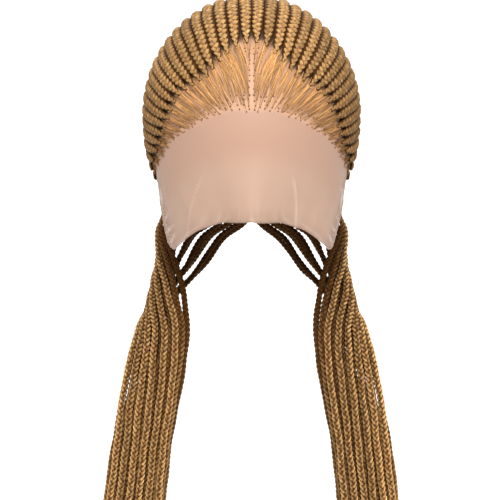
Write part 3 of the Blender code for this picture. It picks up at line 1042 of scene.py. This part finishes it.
class LaceSettings(bpy.types.PropertyGroup):
    thickness: FloatProperty(
        name="Thickness", description="Thickness of the net", default=0.0003, unit="LENGTH"
    )
    net_pitch: FloatProperty(
        name="Net pitch", description="Distance between threads", default=0.0016, unit="LENGTH"
    )
    tight_cover: FloatProperty(
        name="Tight cover",
        description="How much the lace hides where it lies tight", default=0.95, subtype="FACTOR",
    )
    loose_cover: FloatProperty(
        name="Loose cover", description="How much the loose lace hides", default=0.86, subtype="FACTOR"
    )
    flap_cover: FloatProperty(
        name="Flap cover", description="How much the side flaps hide", default=0.46, subtype="FACTOR"
    )
    forehead: FloatVectorProperty(
        name="Forehead tint",
        description="Lace over the forehead", subtype="COLOR", default=(0.375, 0.222, 0.152),
    )
    scalp_pink: FloatVectorProperty(
        name="Scalp tint",
        description="Lace under the hair", subtype="COLOR", default=(0.48, 0.266, 0.156),
    )
    loose_tint: FloatVectorProperty(
        name="Loose tint",
        description="Loose lace over the face", subtype="COLOR", default=(0.405, 0.258, 0.184),
    )
    # Brown of the cap's net, dark enough to stand also for the painted shade between the rows
    shaded_cap_brown: FloatVectorProperty(
        name="Cap brown", description="Net of the cap", subtype="COLOR", default=(0.085, 0.045, 0.022)
    )


# Grids of the cap's net and the front lace: across and down
CAP_GRID = (97, 40)
FRONT_GRID = (201, 91)

# Where the front lace lies bare on the skin, and where hair is rooted in it and it goes to the cap brown
# for dark roots with painted shade between the rows, in degrees of reach
BARE_SPAN = (-1.5, 3.0)
ROOTED_SPAN = (2.0, 5.0)

# Folds of the loose lace, by seam turn and by share of the way down
FOLDS = (
    # turn at its start, turn at the hem, start share
    (-29.0, -78.0, 0.79),
    (25.0, 48.0, 0.80),
    (-124.0, -118.0, 0.34),
    (124.0, 118.0, 0.34),
    (-104.0, -103.0, 0.62),
    (101.0, 105.0, 0.66),
)
FOLD_RIDGE = 0.0006
FOLD_HALF_TURN = 1.1
FOLD_START = 0.05
# Painted highlight along the fold ridges: its share and tint
FOLD_LIGHT = 0.16
FOLD_HIGHLIGHT = (0.75, 0.62, 0.53, 1.0)

# Ripples of the loose lace: height, waves and shift
RIPPLES = ((0.0006, 5.0, 0.6), (0.0002, 17.0, 0.0))

# Where the front lace changes: start and width, by share of the way down or by seam turn
LOOSE_SPAN = (0.62, 0.38)
SHEER_SPAN = (0.66, 0.22)
CHEEK_TURNS, CHEEK_SPAN = (92.0, 12.0), (0.22, 0.2)
FLAP_TURNS, FLAP_SPAN = (84.0, 18.0), (0.30, 0.30)
HEM_SPAN = (0.93, 0.07)
HEM_SHEER = 0.55


def lace_net(nodes, settings):
    """Threads of a diamond net: 1 on a thread and 0 in a hole."""
    flat = nodes.add("ShaderNodeUVMap", uv_map="lace").outputs["UV"]
    place = nodes.add("ShaderNodeSeparateXYZ", {0: flat})
    lines = []
    for lean in (0.58, -0.58):
        slanted = nodes.maths("MULTIPLY_ADD", place.outputs["Y"], lean)
        nodes.feed(slanted.node.inputs[2], place.outputs["X"])
        threads = nodes.maths("SINE", nodes.maths("MULTIPLY", slanted, math.pi / settings.net_pitch))
        lines.append(nodes.maths("ABSOLUTE", threads))
    nearest = nodes.maths("MINIMUM", lines[0], lines[1])
    return nodes.ranged(nearest, 0.12, 0.50, 1.0, 0.0)


def front_net(settings):
    nodes = Nodes("sheer front lace")
    threads = lace_net(nodes, settings)
    cover, fold, bare = nodes.value_of("cover"), nodes.value_of("fold"), nodes.value_of("bare")
    skin = nodes.mixed(bare, colour(settings.scalp_pink), colour(settings.forehead))
    loose = nodes.ranged(cover, settings.loose_cover, settings.tight_cover, 1.0, 0.0)
    tint = nodes.mixed(loose, skin, colour(settings.loose_tint))
    # Behind the cornrow starts: dark roots with painted shade between the rows
    tint = nodes.mixed(nodes.value_of("rooted_and_shaded"), tint, colour(settings.shaded_cap_brown))
    # Painted highlight along the fold ridges
    tint = nodes.mixed(nodes.maths("MULTIPLY", fold, FOLD_LIGHT), tint, FOLD_HIGHLIGHT)
    open_net = nodes.maths("SUBTRACT", 1.0, threads)
    holes = nodes.maths("MULTIPLY", open_net, nodes.maths("SUBTRACT", 1.0, cover))
    unfolded = nodes.maths("SUBTRACT", 1.0, nodes.maths("MULTIPLY", fold, 0.5))
    solid = nodes.maths("SUBTRACT", 1.0, nodes.maths("MULTIPLY", holes, unfolded))
    nodes.bump(threads, 0.06, 0.0002)
    return nodes.dress(Base_Color=tint, Roughness=0.62, Alpha=solid, Sheen_Weight=0.06)


def cap_net(settings):
    nodes = Nodes("cap net")
    threads = lace_net(nodes, settings)
    # Net in the cap brown, which also stands for painted shade between the rows; holes darker
    tint = nodes.mixed(threads, colour(settings.shaded_cap_brown, 0.45), colour(settings.shaded_cap_brown))
    nodes.bump(threads, 0.5, 0.0003)
    return nodes.dress(Base_Color=tint, Roughness=0.75, Sheen_Weight=0.15)


def cap_route(turn, columns):
    """Points inside the cap along a row from the seam to the lower edge."""
    directions = row_directions(turn, SEAM_REACH)
    points, normals = scalp(directions)
    along = lengths_along(points)
    stops = np.linspace(0.0, along[-1] + CAP_MARGIN, columns)
    route = sampled(stops, along, points)
    route[-1] += unit(points[-1] - points[-2]) * CAP_MARGIN
    return route, unit(sampled(stops, along, normals))


def front_route(turn, shares):
    """Points and normals of the front lace from the seam down to its hem."""
    start = fan_direction(abs(turn), np.array([SEAM_REACH]))[0]
    angle = math.radians(np.interp(abs(turn), column(LACE_HEM, 0), column(LACE_HEM, 1)))
    height = np.interp(abs(turn), column(LACE_HEM, 0), column(LACE_HEM, 2))
    level = math.sqrt(1.0 - (height / FACE_DROP) ** 2)
    around = np.array([math.sin(angle), -math.cos(angle)])
    reach = level / np.linalg.norm(around / np.array([HEAD_HALF_WIDTH, HEAD_HALF_LENGTH]))
    end = unit(np.array([around[0] * reach, around[1] * reach, height]))
    sweep = math.acos(float(np.clip(start @ end, -1.0, 1.0)))
    parts = np.sin((1 - shares) * sweep)[:, None] * start + np.sin(shares * sweep)[:, None] * end
    points, normals = scalp(parts / math.sin(sweep))
    below = (points[:, 2] + HEAD_RISE) / HEM_DROP
    ridge = NOSE_LIFT * ease(below) * np.exp(-((points[:, 0] / NOSE_HALF_WIDTH) ** 2))
    points[:, 1] -= ridge
    side = 1.0 if turn >= 0 else -1.0
    return mirrored(points, side), mirrored(normals, side)


def sheet_mesh(name, grid, normals, thickness, values):
    """A thin closed sheet over a grid of points, with its flat map in metres."""
    columns, rows = grid.shape[:2]
    outer = grid + normals * thickness
    points = np.concatenate([grid.reshape(-1, 3), outer.reshape(-1, 3)])
    index = np.arange(columns * rows).reshape(columns, rows)
    quads = np.stack([index[:-1, :-1], index[1:, :-1], index[1:, 1:], index[:-1, 1:]], axis=-1)
    quads = quads.reshape(-1, 4)
    rim = np.concatenate([index[:-1, 0], index[-1, :-1], index[:0:-1, -1], index[0, :0:-1]])
    after = np.roll(rim, -1)
    shift = columns * rows
    walls = np.stack([after, rim, rim + shift, after + shift], axis=-1)
    faces = np.concatenate([quads, quads[:, ::-1] + shift, walls])
    facing = np.cross(grid[1, 0] - grid[0, 0], grid[0, 1] - grid[0, 0]) @ normals[0, 0]
    if facing > 0:
        faces = faces[:, ::-1]
    mesh = mesh_of(name, points, faces.reshape(-1), np.full(len(faces), 4))
    down = np.cumsum(np.linalg.norm(np.diff(grid, axis=1, prepend=grid[:, :1]), axis=2), axis=1)
    middle = rows // 2
    over = np.cumsum(np.linalg.norm(np.diff(grid[:, middle], axis=0, prepend=grid[:1, middle]), axis=1))
    flat = np.stack([np.broadcast_to(over[:, None], down.shape), down], axis=-1).reshape(-1, 2)
    flat = np.concatenate([flat, flat])
    corners = np.empty(len(mesh.loops), np.int32)
    mesh.loops.foreach_get("vertex_index", corners)
    flat = flat[corners].astype(np.float32).reshape(-1)
    mesh.uv_layers.new(name="lace").uv.foreach_set("vector", flat)
    for layer, value in values.items():
        spread = np.concatenate([value.reshape(-1), value.reshape(-1)]).astype(np.float32)
        mesh.attributes.new(layer, "FLOAT", "POINT").data.foreach_set("value", spread)
    return mesh


class WIG_OT_sew_cap(bpy.types.Operator):
    """Sew the net cap that the cornrows sit on"""

    bl_idname = "wig.sew_cap"
    bl_label = "Sew the cap"

    def execute(self, context):
        settings = context.scene.wig_lace
        columns, rows = CAP_GRID
        routes = [cap_route(turn, rows) for turn in np.linspace(-EAR_TURN, EAR_TURN, columns)]
        grid = np.stack([route for route, _ in routes])
        normals = np.stack([out for _, out in routes])
        grid = grid + normals * (LACE_THICKNESS - settings.thickness)
        mesh = sheet_mesh("cap_net", grid, normals, settings.thickness, {})
        made = piece("cap_net", mesh, cap_net(settings))
        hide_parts("lace_cap")
        return {"FINISHED"}


class WIG_OT_hang_front_lace(bpy.types.Operator):
    """Hang the untrimmed front lace, with its folds and scalloped hem"""

    bl_idname = "wig.hang_front_lace"
    bl_label = "Hang the front lace"

    def execute(self, context):
        settings = context.scene.wig_lace
        turns = np.linspace(-EAR_TURN, EAR_TURN, FRONT_GRID[0])
        shares = np.linspace(0.0, 1.0, FRONT_GRID[1])
        routes = [front_route(turn, shares) for turn in turns]
        grid = np.stack([route for route, _ in routes])
        normals = np.stack([out for _, out in routes])
        turn, share = np.meshgrid(turns, shares, indexing="ij")
        fold = np.zeros_like(turn)
        for top, hem, start in FOLDS:
            down = np.clip((share - start) / (1.0 - start), 0.0, 1.0)
            line = top + (hem - top) * down
            ridge = np.exp(-(((turn - line) / FOLD_HALF_TURN) ** 2))
            fold = np.maximum(fold, ridge * ease((share - start) / FOLD_START))
        ripple = sum(size * np.sin(np.radians(turn) * waves + shift) for size, waves, shift in RIPPLES)
        lift = fold * FOLD_RIDGE + rise(share, LOOSE_SPAN) * ripple
        grid = grid + normals * (LACE_THICKNESS - settings.thickness + lift)[..., None]
        cheek = rise(np.abs(turn), CHEEK_TURNS) * rise(share, CHEEK_SPAN)
        sheer = np.maximum(rise(share, SHEER_SPAN), cheek)
        cover = settings.tight_cover + (settings.loose_cover - settings.tight_cover) * sheer
        flap = rise(np.abs(turn), FLAP_TURNS) * rise(share, FLAP_SPAN)
        flap = np.maximum(flap, HEM_SHEER * rise(share, HEM_SPAN))
        cover = cover + (settings.flap_cover - cover) * flap
        from_middle = grid + np.array([0.0, 0.0, HEAD_RISE])
        reach = np.degrees(np.arccos(np.clip(-unit(from_middle)[..., 1], -1.0, 1.0)))
        around = np.degrees(np.arctan2(np.abs(from_middle[..., 0]), from_middle[..., 2]))
        bare = rise(hairline_reach(around) - reach, BARE_SPAN)
        # Lace behind the cornrow starts, for dark roots with painted shade between the rows
        rooted_and_shaded = rise(reach - cornrow_reach(around), ROOTED_SPAN) * (share < 0.5)
        values = {"cover": cover, "fold": fold, "bare": bare, "rooted_and_shaded": rooted_and_shaded}
        mesh = sheet_mesh("front_lace_net", grid, normals, settings.thickness, values)
        made = piece("front_lace_net", mesh, front_net(settings))
        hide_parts("front_lace")
        return {"FINISHED"}


class StageSettings(bpy.types.PropertyGroup):
    eye_distance: FloatProperty(
        name="Eye distance", description="From the head's middle", default=1.30, unit="LENGTH"
    )
    eye_rise: FloatProperty(
        name="Eye rise", description="Angle above level", default=math.radians(13.0), subtype="ANGLE"
    )
    aim: FloatVectorProperty(
        name="Aim",
        description="What the camera looks at", subtype="XYZ", default=(-0.0012, -0.0281, -0.1866),
    )
    lens: FloatProperty(name="Lens", description="Focal length in millimetres", default=118.5)
    floor_drop: FloatProperty(
        name="Floor drop", description="Floor below the tips", default=0.10, unit="LENGTH"
    )
    floor_white: FloatVectorProperty(
        name="Floor", description="Floor", subtype="COLOR", default=(0.97, 0.97, 0.97)
    )


# Studio lights: three on the wig and one on the far floor
WIG_MIDDLE = (0.0, 0.0, -0.15)
LIGHTS = (
    # name, place, aim, size, power
    ("key light", (0.1, -1.8, 1.75), WIG_MIDDLE, 1.5, 98.0),
    ("left fill light", (-2.2, -1.1, 0.3), WIG_MIDDLE, 1.2, 5.0),
    ("right fill light", (2.2, -1.1, 0.3), WIG_MIDDLE, 1.2, 5.0),
    ("floor light", (0.0, 2.7, 1.3), (0.0, 2.9, -0.6), 3.6, 70.0),
)
SKY_STRENGTH = 0.50
FLOOR_CORNERS = np.array([(-9.0, -9.0, 0.0), (9.0, -9.0, 0.0), (9.0, 9.0, 0.0), (-9.0, 9.0, 0.0)])


def aimed(holder, place, target):
    holder.location = place
    holder.rotation_euler = (Vector(target) - Vector(place)).to_track_quat("-Z", "Y").to_euler()
    bpy.context.scene.collection.objects.link(holder)


class WIG_OT_set_stage(bpy.types.Operator):
    """Set the floor, the studio lights and the camera"""

    bl_idname = "wig.set_stage"
    bl_label = "Set the stage"

    def execute(self, context):
        settings = context.scene.wig_stage
        scene = context.scene
        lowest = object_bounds()[0].z
        mesh = mesh_of("floor", FLOOR_CORNERS, np.arange(4), np.array([4]))
        floor = bpy.data.objects.new("floor", mesh)
        floor.location = (0.0, 0.0, lowest - settings.floor_drop)
        scene.collection.objects.link(floor)
        nodes = Nodes("studio floor")
        grain = nodes.noise(nodes.add("ShaderNodeTexCoord").outputs["Object"], 30.0)
        speckle = nodes.ranged(grain, 0.3, 0.7, 0.0, 0.1)
        tint = nodes.mixed(speckle, colour(settings.floor_white), colour(settings.floor_white, 0.96))
        floor.data.materials.append(nodes.dress(Base_Color=tint, Roughness=0.9))
        floor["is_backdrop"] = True
        for name, place, aim, size, power in LIGHTS:
            lamp = bpy.data.lights.new(name, "AREA")
            lamp.size = size
            lamp.energy = power
            aimed(bpy.data.objects.new(name, lamp), place, aim)
        world = bpy.data.worlds.new("studio")
        world.use_nodes = True
        sky = world.node_tree.nodes["Background"].inputs
        sky["Strength"].default_value = SKY_STRENGTH
        sky["Color"].default_value = (1.0, 1.0, 1.0, 1.0)
        scene.world = world
        lens = bpy.data.cameras.new("camera")
        lens.lens = settings.lens
        camera = bpy.data.objects.new("camera", lens)
        level = settings.eye_distance * math.cos(settings.eye_rise)
        above = settings.eye_distance * math.sin(settings.eye_rise)
        aimed(camera, (0.0, -level, above - HEAD_RISE), settings.aim)
        scene.camera = camera
        scene.view_settings.view_transform = "Standard"
        return {"FINISHED"}


class WIG_PT_workshop(bpy.types.Panel):
    """The steps of the wig, in order"""

    bl_label = "Braid wig"
    bl_space_type = "VIEW_3D"
    bl_region_type = "UI"
    bl_category = "Braid wig"

    def draw(self, context):
        for step in STEPS:
            self.layout.operator(step.bl_idname, text=step.bl_label)
        for group in GROUPS:
            box = self.layout.box()
            settings = getattr(context.scene, group)
            for name in settings.bl_rna.properties.keys()[2:]:
                box.prop(settings, name)


STEPS = (
    WIG_OT_sew_cap,
    WIG_OT_hang_front_lace,
    WIG_OT_plait_braids,
    WIG_OT_lay_hairline,
    WIG_OT_set_stage,
)
GROUPS = {
    "wig_braids": BraidSettings,
    "wig_hairline": HairlineSettings,
    "wig_lace": LaceSettings,
    "wig_stage": StageSettings,
}
CLASSES = (*GROUPS.values(), *STEPS, WIG_PT_workshop)


def register():
    for each in CLASSES:
        bpy.utils.register_class(each)
    for group, settings in GROUPS.items():
        setattr(bpy.types.Scene, group, PointerProperty(type=settings))


def unregister():
    for group in GROUPS:
        delattr(bpy.types.Scene, group)
    for each in reversed(CLASSES):
        bpy.utils.unregister_class(each)


def main():
    register()
    bpy.ops.wig.sew_cap()
    bpy.ops.wig.hang_front_lace()
    bpy.ops.wig.plait_braids()
    bpy.ops.wig.lay_hairline()
    bpy.ops.wig.set_stage()


if __name__ == "__main__":
    main()
